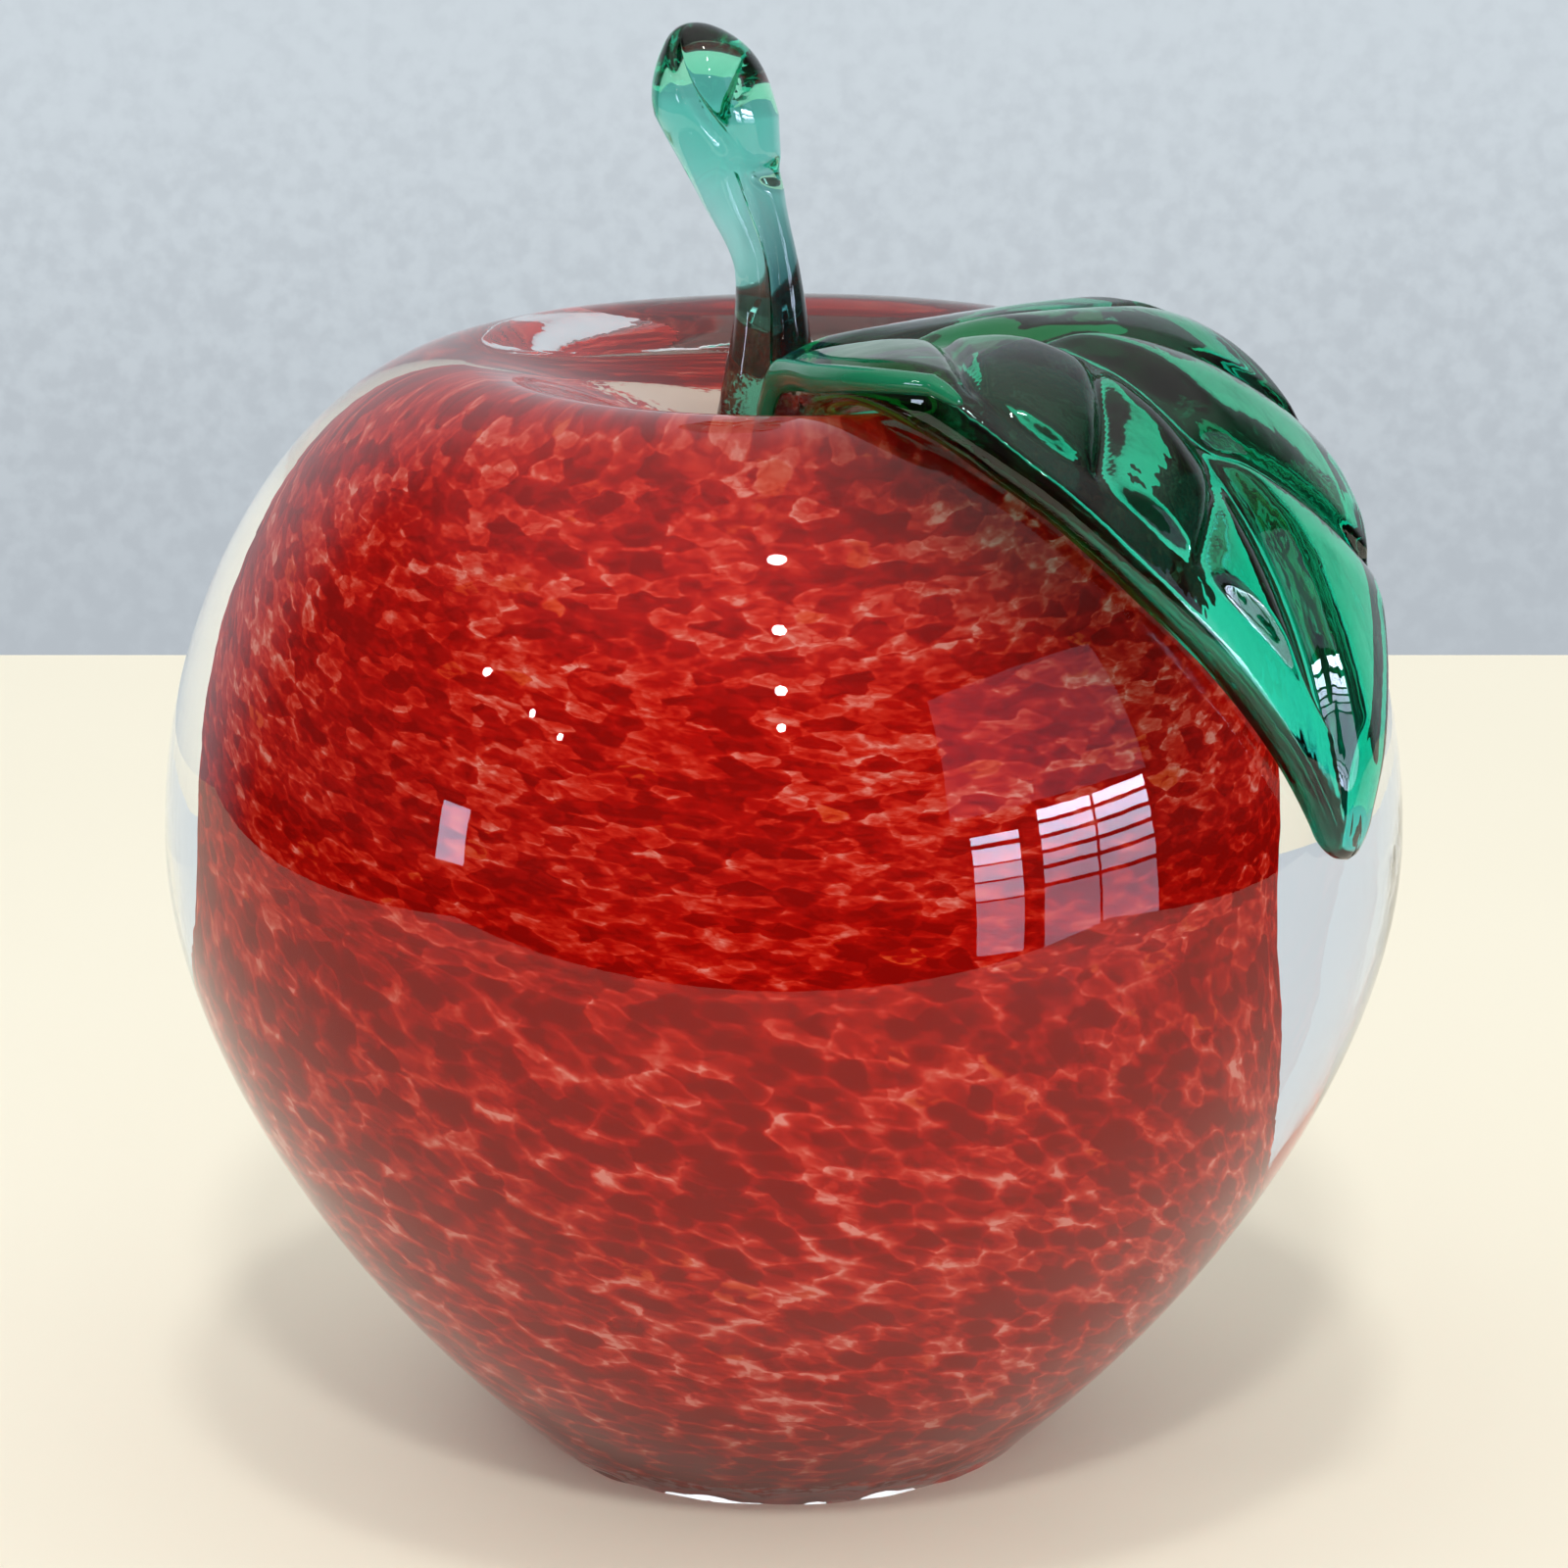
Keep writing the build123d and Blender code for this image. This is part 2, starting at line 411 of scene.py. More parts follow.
@dataclass(frozen=True)
class StemFinish(GlassFinish):
    """Stem glass, denser toward the foot, with painted shade darkening the strand on the right."""

    dense: Colour = (0.55, 0.84, 0.76)
    # Painted shade: dark tint for the right strand.
    painted_strand_shade: Colour = (0.06, 0.17, 0.21)
    dense_top: float = 102.0 * MM
    dense_foot: float = 90.0 * MM
    strand_shade_top: float = 112.0 * MM
    foot_height: float = 84.0 * MM
    parting: float = -0.9 * MM
    parting_turn: float = 93.0 * MM
    parting_slant: float = -0.2
    parting_width: float = 0.8 * MM

    def shade(self, board: Board, place: Socket) -> Any:
        """Tint that deepens down the stem, with painted shade on its right strand.

        Args:
            board: Adds the nodes.
            place: Places on the stem.

        Returns:
            The tint of each place.
        """
        parts = board.add("SeparateXYZ", {"Vector": place}).outputs
        over = board.math("MAXIMUM", board.math("SUBTRACT", parts["Z"], self.parting_turn), 0.0)
        past = board.math("SUBTRACT", parts["X"], board.math("MULTIPLY", over, self.parting_slant))
        # Painted shade: the right strand, up to its top, is tinted dark to stand for shade.
        right = board.ramp(past, self.parting, self.parting + self.parting_width)
        right = board.math("MULTIPLY", right, board.ramp(parts["Z"], self.foot_height, self.dense_foot))
        right = board.math("MULTIPLY", right, board.ramp(parts["Z"], self.strand_shade_top, self.dense_foot))
        down = board.ramp(parts["Z"], self.dense_top, self.dense_foot)
        return board.blend(right, board.blend(down, self.tint, self.dense), self.painted_strand_shade)


@dataclass(frozen=True)
class FritFinish:
    """Red glass chips melted together, with pale wisps where the chips part."""

    name: str = "red_frit_glass"
    chip: float = 2.4 * MM
    mottle: float = 1.0 * MM
    crumb: float = 1.7 * MM
    drift: float = 4.0 * MM
    cloud: float = 12.0 * MM
    warp: float = 0.75 * MM
    warp_size: float = 2.2 * MM
    twist: float = -1.6
    twist_top: float = 68.0 * MM
    twist_foot: float = 6.0 * MM
    draw_low: float = 1.6
    draw_high: float = 0.9
    draw_change: float = 47.0 * MM
    fade_low: float = 48.0 * MM
    fade_high: float = 72.0 * MM
    low_top: float = 52.0 * MM
    low_foot: float = 36.0 * MM
    rough: float = 0.55
    chip_blur: float = 0.16
    crumb_blur: float = 0.28
    chip_span: Pair = (0.10, 0.90)
    chip_dark: float = 0.04
    chip_pale: Pair = (0.44, 0.50)
    border_span: Pair = (0.25, 0.85)
    border_pale: Pair = (0.30, 0.20)
    shoulder_tone: Band = (0.0, 1.0, -0.16, -0.01)
    mottle_tone: Band = (0.30, 0.72, -0.10, 0.18)
    cloud_tone: Band = (0.36, 0.66, -0.10, 0.08)
    seam_gap: Band = (0.35, 0.68, 0.04, 0.24)
    seam_tone: Band = (0.40, 0.64, 0.0, 0.10)
    crumb_tone: Band = (0.15, 0.90, -0.10, 0.14)
    rim_tone: Band = (0.36, 0.88, -0.11, 0.26)
    flake_tone: Band = (0.82, 0.97, 0.0, 0.16)
    stops: Sequence[tuple[float, Colour]] = (
        (0.00, (0.28, 0.002, 0.001)),
        (0.38, (0.48, 0.004, 0.002)),
        (0.60, (0.64, 0.020, 0.008)),
        (0.80, (0.72, 0.085, 0.052)),
        (1.00, (0.82, 0.26, 0.20)),
    )
    orange: Colour = (0.78, 0.14, 0.02)
    orange_share: Band = (0.92, 0.99, 0.0, 0.3)
    orange_tone: Pair = (0.35, 0.6)
    # Pale spots: few chips took there, and they are also painted light on the core's shaded bottom and the
    # back of its top.
    bare_and_lit: Colour = (0.82, 0.64, 0.53)
    bare_and_lit_fray: Band = (0.3, 0.7, -0.35, 0.35)
    bare_and_lit_edge: Pair = (1.15, 0.75)
    bare_and_lit_spots: Sequence[tuple[Place, Place, float]] = (
        ((-0.010, 0.0125, 0.081), (0.009, 0.005, 0.003), 1.0),
        ((0.0, 0.0045, 0.003), (0.012, 0.0035, 0.003), 1.0),
        ((0.0, 0.0, 0.003), (0.012, 0.008, 0.003), 0.45),
    )

    def flow(self, board: Board, axis: Vector) -> Socket:
        """Places on the core, carried along the way the glass was twisted and drawn.

        Args:
            board: Adds the nodes.
            axis: A point of the core's upright axis.

        Returns:
            The carried places.
        """
        place = board.add("TexCoord").outputs["Object"]
        centred = board.add("Mapping", {"Vector": place, "Location": -axis}).outputs["Vector"]
        height = board.add("SeparateXYZ", {"Vector": centred}).outputs["Z"]
        ends = {"From Min": self.twist_top, "From Max": self.twist_foot, "To Max": self.twist}
        angle = board.add("MapRange", {"Value": height, **ends}).outputs["Result"]
        spun = board.add("VectorRotate", {"Vector": centred, "Angle": angle}, rotation_type="Z_AXIS")
        parts = board.add("SeparateXYZ", {"Vector": spun.outputs[0]}).outputs
        over = board.math("MAXIMUM", board.math("SUBTRACT", parts["Z"], self.draw_change), 0.0)
        low = board.math("MULTIPLY", parts["Z"], self.draw_low)
        drawn = board.math("ADD", low, board.math("MULTIPLY", over, self.draw_high))
        return board.add("CombineXYZ", {0: parts["X"], 1: parts["Y"], 2: drawn}).outputs[0]

    def thin_and_lit(self, board: Board, ragged: Socket) -> Socket:
        """Mask of the pale spots at the top and bottom: few chips took there, and they are also painted light
        on the core's shaded bottom and on the back of its top.

        Args:
            board: Adds the nodes.
            ragged: Noise that frays the border of each spot.

        Returns:
            How pale each place is, from sparse chips and painted light.
        """
        place = board.add("TexCoord").outputs["Object"]
        fray = board.ramp(ragged, *self.bare_and_lit_fray)
        mask = 0.0
        for middle, size, share in self.bare_and_lit_spots:
            off = board.add("VectorMath", {0: place, 1: middle}, operation="SUBTRACT").outputs[0]
            off = board.add("VectorMath", {0: off, 1: size}, operation="DIVIDE").outputs[0]
            reach = board.add("VectorMath", {0: off}, operation="LENGTH").outputs["Value"]
            reach = board.math("ADD", reach, fray)
            mask = board.math("MAXIMUM", mask, board.ramp(reach, *self.bare_and_lit_edge, 0.0, share))
        return mask

    def tone(self, board: Board, flow: Socket, warped: Socket, mottle: Socket) -> tuple[Socket, Socket]:
        """How pale each place is, from the chips, their borders and slow drifts.

        Args:
            board: Adds the nodes.
            flow: Places carried along the flow of the glass.
            warped: The same places, stirred a little.
            mottle: Fine noise.

        Returns:
            The tone and a random value for each chip.
        """
        cells = {"Vector": warped, "Scale": 1.0 / self.chip}
        edge = board.add("TexVoronoi", cells, feature="DISTANCE_TO_EDGE").outputs["Distance"]
        chips = board.add("TexVoronoi", {**cells, "Smoothness": self.chip_blur}, feature="SMOOTH_F1").outputs
        cells = {"Vector": warped, "Scale": 1.0 / self.crumb, "Smoothness": self.crumb_blur}
        crumbs = board.add("TexVoronoi", cells, feature="SMOOTH_F1").outputs
        chip, fleck = board.add("SeparateColor", {0: chips["Color"]}).outputs[:2]
        crumb, flake = board.add("SeparateColor", {0: crumbs["Color"]}).outputs[:2]
        drift = board.grain(flow, self.drift, 3.0).outputs["Fac"]
        cloud = board.grain(flow, self.cloud, 2.0).outputs["Fac"]

        height = board.add("SeparateXYZ", {"Vector": flow}).outputs["Z"]
        shoulder = board.ramp(height, self.draw_low * self.fade_low, self.draw_low * self.fade_high)
        low = board.ramp(height, self.draw_low * self.low_top, self.draw_low * self.low_foot)
        seam = board.ramp(edge, board.ramp(mottle, *self.seam_gap), 0.0)
        pale = board.ramp(shoulder, 0.0, 1.0, *self.border_pale)
        shares = (
            board.ramp(chips["Distance"], *self.border_span, 0.0, pale),
            board.ramp(shoulder, *self.shoulder_tone),
            board.ramp(mottle, *self.mottle_tone),
            board.ramp(cloud, *self.cloud_tone),
            board.math("MULTIPLY", seam, board.ramp(drift, *self.seam_tone)),
            board.ramp(crumb, *self.crumb_tone),
            board.math("MULTIPLY", low, board.ramp(chips["Distance"], *self.rim_tone)),
            board.ramp(flake, *self.flake_tone),
        )
        pale = board.ramp(shoulder, 0.0, 1.0, *self.chip_pale)
        tone = board.ramp(chip, *self.chip_span, self.chip_dark, pale)
        for share in shares:
            tone = board.math("ADD", tone, share)
        return tone, fleck

    def build(self, axis: Vector) -> bpy.types.Material:
        """Material of the chips.

        Args:
            axis: A point of the core's upright axis.

        Returns:
            The finished material.
        """
        material, board = blank_material(self.name)
        flow = self.flow(board, axis)
        swirl = board.grain(flow, self.warp_size, 3.0).outputs["Color"]
        shift = board.add("VectorMath", {0: swirl, 1: (0.5, 0.5, 0.5)}, operation="SUBTRACT").outputs[0]
        sizes = {0: shift, 1: (2 * self.warp,) * 3, 2: flow}
        warped = board.add("VectorMath", sizes, operation="MULTIPLY_ADD").outputs[0]
        mottle = board.grain(warped, self.mottle, 4.0).outputs["Fac"]
        tone, fleck = self.tone(board, flow, warped, mottle)
        tints = board.add("ValToRGB", {"Fac": tone})
        ramp = tints.color_ramp
        while len(ramp.elements) < len(self.stops):
            ramp.elements.new(1.0)
        for element, (spot, colour) in zip(ramp.elements, self.stops):
            element.position = spot
            element.color = opaque(colour)
        warm = board.ramp(fleck, *self.orange_share)
        warm = board.math("MULTIPLY", warm, board.ramp(tone, *self.orange_tone))
        colour = board.blend(warm, tints.outputs["Color"], self.orange)
        # Partly painted light: pale spots over the core's shaded bottom and the back of its top.
        colour = board.blend(self.thin_and_lit(board, mottle), colour, self.bare_and_lit)
        looks = {"Base Color": colour, "Roughness": self.rough, "Specular IOR Level": 0.0}
        board.show(board.add("BsdfPrincipled", looks))
        return material


@dataclass(frozen=True)
class CloudyFinish:
    """Plain surface with slow clouds of tone."""

    name: str
    cloud: float
    detail: float
    first: Colour
    second: Colour
    span: Pair
    rough: Pair

    def build(self) -> bpy.types.Material:
        """Material that drifts from one tone to the other.

        Returns:
            The finished material.
        """
        material, board = blank_material(self.name)
        place = board.add("TexCoord").outputs["Object"]
        cloud = board.grain(place, self.cloud, self.detail).outputs["Fac"]
        colour = board.blend(board.ramp(cloud, *self.span), self.first, self.second)
        rough = board.ramp(cloud, *self.span, *self.rough)
        board.show(board.add("BsdfPrincipled", {"Base Color": colour, "Roughness": rough}))
        return material


@dataclass
class ClearCasing:
    """Thick clear outer glass with a flat base and a dimple on top."""

    base_radius: float = 20.4 * MM
    base_bevel: float = 0.8 * MM
    flank_angle: float = math.radians(41.9)
    flank_reach: float = 21.7 * MM
    belly_radius: float = 50.0 * MM
    belly_height: float = 50.8 * MM
    belly_drop: float = 15.4 * MM
    belly_rise: float = 21.3 * MM
    crest_radius: float = 25.6 * MM
    crest_height: float = 89.8 * MM
    crest_reach: float = 11.7 * MM
    dimple_depth: float = 9.0 * MM
    rim_reach: float = 6.0 * MM
    floor_reach: float = 5.3 * MM
    steps_along: int = 48
    steps_around: int = 192
    ripple_size: float = 26.0 * MM
    ripple_height: float = 0.10 * MM
    grind_size: float = 3.0 * MM
    grind_depth: float = 0.35 * MM

    @property
    def dimple_floor(self) -> float:
        """Height of the lowest point of the dimple."""
        return self.crest_height - self.dimple_depth

    def dimple_span(self) -> list[Pair]:
        """Control points from the floor of the dimple to the crest."""
        floor, top = self.dimple_floor, self.crest_height
        lip = self.crest_radius - self.rim_reach
        return [(0.0, floor), (self.floor_reach, floor), (lip, top), (self.crest_radius, top)]

    def side_spans(self) -> Spans:
        """Control points from the crest over the belly to the bevel of the base."""
        foot = self.base_radius + self.base_bevel
        lead = foot + self.flank_reach * math.cos(self.flank_angle)
        lead_height = self.base_bevel + self.flank_reach * math.sin(self.flank_angle)
        crest, top = self.crest_radius, self.crest_height
        belly, middle = self.belly_radius, self.belly_height
        over, under = middle + self.belly_rise, middle - self.belly_drop
        shoulder = [(crest, top), (crest + self.crest_reach, top), (belly, over), (belly, middle)]
        flank = [(belly, middle), (belly, under), (lead, lead_height), (foot, self.base_bevel)]
        return [shoulder, flank]

    def side(self, steps: int) -> Outline:
        """Outline from the crest down to the base."""
        return Outline(self.side_spans(), steps)

    def skin(self, steps: int) -> Outline:
        """Outline from the floor of the dimple to the base."""
        return Outline([self.dimple_span(), *self.side_spans()], steps)

    def build(self, finish: GlassFinish) -> bpy.types.Object:
        """Turn the casing and dress it.

        Args:
            finish: Its glass.

        Returns:
            The finished casing.
        """
        rim = Vector((self.base_radius, 0.0, 0.0))
        bm = turned([*self.skin(self.steps_along).points, rim, Vector()], self.steps_around)
        above = [v for v in bm.verts if v.co.z > self.base_bevel]
        for vert in bm.verts:
            if 0.0 < vert.co.xy.length and vert.co.z <= self.base_bevel:
                uneven = noise.noise(vert.co / self.grind_size)
                vert.co.xy *= 1.0 + self.grind_depth * uneven / self.base_radius
        bm.normal_update()
        for vert in above:
            fade = smooth_step(0.0, self.belly_height, vert.co.z)
            lift = noise.noise(vert.co / self.ripple_size)
            vert.co += vert.normal * (self.ripple_height * fade * lift)
        return finished(bm, "clear_glass_casing", finish.build(), "clear_casing")


@dataclass
class FritCore:
    """Red core, a layer of melted chips around the first gather."""

    shift: float = -2.6 * MM
    bottom: float = 3.0 * MM
    bottom_reach: float = 6.7 * MM
    heel_radius: float = 24.4 * MM
    heel_height: float = 13.0 * MM
    heel_angle: float = math.radians(71.0)
    heel_reach: float = 4.6 * MM
    belly_radius: float = 29.3 * MM
    belly_height: float = 57.0 * MM
    belly_drop: float = 14.7 * MM
    belly_rise: float = 11.0 * MM
    crest_radius: float = 14.0 * MM
    crest_height: float = 81.0 * MM
    crest_reach: float = 8.7 * MM
    rim_reach: float = 3.0 * MM
    floor_height: float = 76.5 * MM
    floor_reach: float = 3.0 * MM
    thickness: float = 1.8 * MM
    steps_along: int = 40
    steps_around: int = 160
    lump_size: float = 9.0 * MM
    lump_height: float = 0.35 * MM
    lump_seed: float = 4.0

    def spans(self) -> Spans:
        """Control points from the floor of the top hollow down to the bottom."""
        lean = self.heel_reach * math.cos(self.heel_angle)
        rise = self.heel_reach * math.sin(self.heel_angle)
        floor, bottom = self.floor_height, self.bottom
        heel, heel_height = self.heel_radius, self.heel_height
        belly, middle = self.belly_radius, self.belly_height
        crest, top = self.crest_radius, self.crest_height
        over, under = middle + self.belly_rise, middle - self.belly_drop
        above, below = (heel + lean, heel_height + rise), (heel - lean, heel_height - rise)
        return [
            [(0.0, floor), (self.floor_reach, floor), (crest - self.rim_reach, top), (crest, top)],
            [(crest, top), (crest + self.crest_reach, top), (belly, over), (belly, middle)],
            [(belly, middle), (belly, under), above, (heel, heel_height)],
            [(heel, heel_height), below, (self.bottom_reach, bottom), (0.0, bottom)],
        ]

    def build(self, finish: FritFinish) -> bpy.types.Object:
        """Turn the layer, make it lumpy, give it its wall and dress it.

        Args:
            finish: Its chips.

        Returns:
            The finished core.
        """
        bm = turned(Outline(self.spans(), self.steps_along).points, self.steps_around)
        rippled(bm, self.lump_size, self.lump_height, self.lump_seed)
        bmesh.ops.translate(bm, verts=bm.verts[:], vec=(self.shift, 0.0, 0.0))
        bmesh.ops.solidify(bm, geom=bm.faces[:], thickness=self.thickness)
        axis = Vector((self.shift, 0.0, 0.0))
        return finished(bm, "red_frit_core", finish.build(axis), "red_frit_layer")


@dataclass
class Stem:
    """Green stem: two drawn strands fused side by side, with a swelling on top."""

    casing: ClearCasing
    radii: Stations = ((-0.3, 5.0), (1.0, 4.8), (6.0, 3.9), (15.5, 2.6), (21.5, 3.4), (28.0, 4.9))
    bulb_height: float = 28.0
    bulb_rise: float = 7.2
    leans: Stations = (
        (-0.3, -1.3), (6.0, -1.1), (15.5, -1.3), (21.5, -3.3),
        (28.5, -5.4), (33.0, -6.1), (35.2, -6.9),
    )
    grooves: Stations = (
        (-0.3, 0.05), (6.0, 0.05), (15.5, 0.10), (19.0, 0.25),
        (23.0, 0.15), (28.5, -0.18), (34.0, -0.86), (35.2, -1.0),
    )
    groove_depths: Stations = (
        (-0.3, 0.25), (4.0, 0.60), (18.0, 0.62), (22.5, 0.5),
        (25.0, 0.08), (28.5, 0.26), (33.0, 0.34), (35.2, 0.10),
    )
    groove_widths: Stations = ((-0.3, 0.40), (18.0, 0.36), (24.0, 0.28), (27.0, 0.11), (35.2, 0.14))
    crease_height: float = 23.6
    crease_width: float = 0.8
    crease_depth: float = 0.32
    crease_turn: Pair = (0.75, 0.6)
    seat_height: float = 2.0
    flatten: float = 0.9
    bed: float = -0.05
    bulb_share: float = 0.3
    foot_share: float = 0.92
    faces_around: int = 128
    faces_along: int = 160

    def build(self, finish: GlassFinish) -> bpy.types.Object:
        """Draw the stem out of a ball, press its groove and dress it.

        Args:
            finish: Its glass.

        Returns:
            The finished stem.
        """
        foot = self.radii[0][0]
        skin = self.casing.skin(self.faces_along)
        floor = self.casing.dimple_floor

        def place(share: float, turn: float) -> Vector:
            """Point of the stem for a share of its height from the tip and an angle round it."""
            if share < self.bulb_share:
                over = share / self.bulb_share * math.pi / 2
                rise = self.bulb_height + self.bulb_rise * math.cos(over)
                radius = self.radii[-1][1] * math.sin(over)
            else:
                down = (share - self.bulb_share) / (self.foot_share - self.bulb_share)
                rise = self.bulb_height + (foot - self.bulb_height) * min(down, 1.0)
                radius = eased(self.radii, rise)
            inset = min((1.0 - share) / (1.0 - self.foot_share), 1.0)
            lean = eased(self.leans, rise)
            aim = -math.pi / 2 + eased(self.grooves, rise)
            off = math.remainder(turn - aim, math.tau)
            depth = eased(self.groove_depths, rise)
            width = eased(self.groove_widths, rise)
            pressed = 1.0 - depth * bump_at(off, 0.0, width)
            behind = 1.0 - depth * bump_at(math.remainder(off - math.pi, math.tau), 0.0, width)
            crease = bump_at(rise, self.crease_height, self.crease_width) * bump_at(off, *self.crease_turn)
            pressed *= 1.0 - self.crease_depth * crease
            reach = radius * pressed * behind * inset
            x = (lean + reach * math.cos(turn)) * MM
            y = reach * math.sin(turn) * self.flatten * MM
            z = floor + rise * MM
            if rise < self.seat_height:
                ground = skin.nearest(math.hypot(x, y), floor)[1] - self.bed * MM
                z = ground + (z - floor - foot * MM)
            return Vector((x, y, z))

        bm = drawn_out(self.faces_around, self.faces_along, place)
        return finished(bm, "green_stem", finish.build(), "stem")


class LeafSide(Enum):
    """The two halves of the leaf, either side of its middle rib."""

    FRONT = -1
    BACK = 1


@dataclass
class Leaf:
    """Green leaf, pressed with ribs and laid hot over the shoulder of the casing."""

    casing: ClearCasing
    heading: float = math.radians(-35.0)
    swing: float = math.radians(2.5)
    half_width: float = 18.0
    reach: float = 45.0
    thickness: float = 4.4
    point_thickness: float = 2.2
    front_edge: float = 3.1
    back_edge: float = 3.8
    top_round: float = 0.9
    stalk_round: float = 2.4
    back_round: float = 2.0
    foot_round: float = 0.35
    stalk_gap: float = 0.5
    roundness: float = 2.5
    bed: float = 0.2
    curl: float = 0.3
    curl_width: float = 3.0
    stalk_bed: float = 4.5
    stalk_drop: float = 2.5
    stalk_lift: float = 1.0
    stalk_start: float = 2.6
    stalk_dip: float = 5.4
    stalk_set_off: float = 4.0
    front_shares: Stations = (
        (-1.0, 0.15), (-0.78, 0.40), (-0.52, 0.75), (-0.22, 0.98), (0.09, 0.99), (0.27, 0.90),
        (0.45, 0.76), (0.62, 0.55), (0.78, 0.35), (0.91, 0.21), (1.0, 0.13),
    )
    back_shares: Stations = (
        (-1.0, 0.15), (-0.78, 0.58), (-0.52, 0.88), (-0.22, 0.94), (0.09, 0.97), (0.27, 1.02),
        (0.45, 0.96), (0.62, 0.73), (0.78, 0.45), (0.91, 0.23), (1.0, 0.13),
    )
    rib_offset: float = -2.0
    rib_width: float = 1.9
    rib_depth: float = 1.2
    front_veins: Sequence[float] = (-9.0, 3.0, 14.5)
    back_veins: Sequence[float] = (-14.0, -2.5, 12.0)
    vein_slant: float = 0.8
    vein_width: float = 1.0
    vein_depth: float = 0.8
    vein_start: float = 2.0
    swell: float = 0.8
    swell_least: float = 0.35
    swell_run: float = 5.5
    swell_off: float = 4.5
    bevel_start: float = 1.6
    bevel_end: float = 4.0
    bevel_back: float = 0.3
    bevel_grown: float = 0.7
    panel_run: float = 1.6
    panel_fade: Pair = (1.0, 0.82)
    rib_fade: Pair = (0.98, 0.8)
    lift_span: Pair = (-0.45, -0.95)
    rolled_span: Pair = (0.05, -0.4)
    curl_share: float = 0.3
    bead_share: float = 0.9
    hang: float = 10.0
    least: float = 1e-6
    end_round: float = 0.06
    stalk_end_round: float = 0.10
    roll_length: float = 1.05
    roll_radius: float = 1.5
    roll_thin: float = 0.8
    roll_inset: float = 0.8
    roll_drop: float = 3.0
    roll_fall: float = 0.2
    roll_end: float = 0.06
    roll_around: int = 48
    roll_along: int = 120
    fine_steps: int = 500
    faces_around: int = 200
    faces_along: int = 240

    def section(self, along: float) -> tuple[Vector, Vector, Vector, float]:
        """Frame of one section of the leaf.

        Args:
            along: Place on the leaf, from -1 at the stem to 1 at the point.

        Returns:
            Its middle, the direction across, the direction outward and how fast the casing falls away.
        """
        crest, top = self.casing.crest_radius / MM, self.casing.crest_height / MM
        if along < 0:
            run = crest - self.stalk_start
            radius, height = crest + along * run, top - self.stalk_dip * along**2
            rise = -2 * self.stalk_dip * along
            size = math.hypot(run, rise)
            run, rise = run / size, rise / size
        else:
            radius, height, run, rise = self.side.at(along * self.reach * MM)
            radius, height = radius / MM, height / MM
        heading = self.heading + self.swing * max(along, 0.0) ** 3
        outward = Vector((math.cos(heading), math.sin(heading), 0.0))
        backward = Vector((-math.sin(heading), math.cos(heading), 0.0))
        set_off = self.stalk_set_off * min(along, 0.0) ** 2
        middle = outward * radius - backward * set_off + Vector((0.0, 0.0, height))
        ahead = outward * run + Vector((0.0, 0.0, rise))
        fall = max(-rise, 0.0) / (2 * math.hypot(middle.x, middle.y))
        return middle, backward, ahead.cross(backward), fall

    def relief(self, along: float, across: float, half: float) -> float:
        """Height of the pressed ribs and of the swelling between them.

        Args:
            along: Place on the leaf, from -1 to 1.
            across: Distance from the middle of the section.
            half: Half width of the section on that side.

        Returns:
            Height to add to the plain top.
        """
        run = self.reach if along > 0 else (self.casing.crest_radius / MM - self.stalk_start)
        hand = LeafSide.FRONT if across < self.rib_offset else LeafSide.BACK
        starts = self.front_veins if hand is LeafSide.FRONT else self.back_veins
        off = abs(across - self.rib_offset)
        room = half - abs(across)
        phase = along * run - self.vein_slant * off
        grown = smooth_step(0.0, self.bevel_grown, along)
        bevel = self.bevel_start + (self.bevel_end - self.bevel_start) * grown
        bevel = bevel if hand is LeafSide.FRONT else self.bevel_back
        panel = smooth_step(bevel, bevel + self.panel_run, room) * smooth_step(*self.panel_fade, abs(along))
        rib = bump_at(off, 0.0, self.rib_width) * smooth_step(*self.rib_fade, abs(along))
        vein = max(bump_at(phase, start, self.vein_width) for start in starts)
        nearest = min(abs(phase - start) for start in starts)
        swell = smooth_step(0.0, self.swell_run, nearest) * smooth_step(0.0, self.swell_off, off)
        swell = self.swell * (self.swell_least + (1.0 - self.swell_least) * swell)
        veins = self.vein_depth * vein * smooth_step(0.0, self.vein_start, off)
        return panel * (swell - veins) - self.rib_depth * rib * panel

    def build(self, finish: GlassFinish) -> bpy.types.Object:
        """Draw the leaf out of a ball, press its ribs, lay it on the casing and dress it.

        Args:
            finish: Its glass.

        Returns:
            The finished leaf.
        """
        self.side = self.casing.side(self.fine_steps)
        skin = self.casing.skin(self.fine_steps)

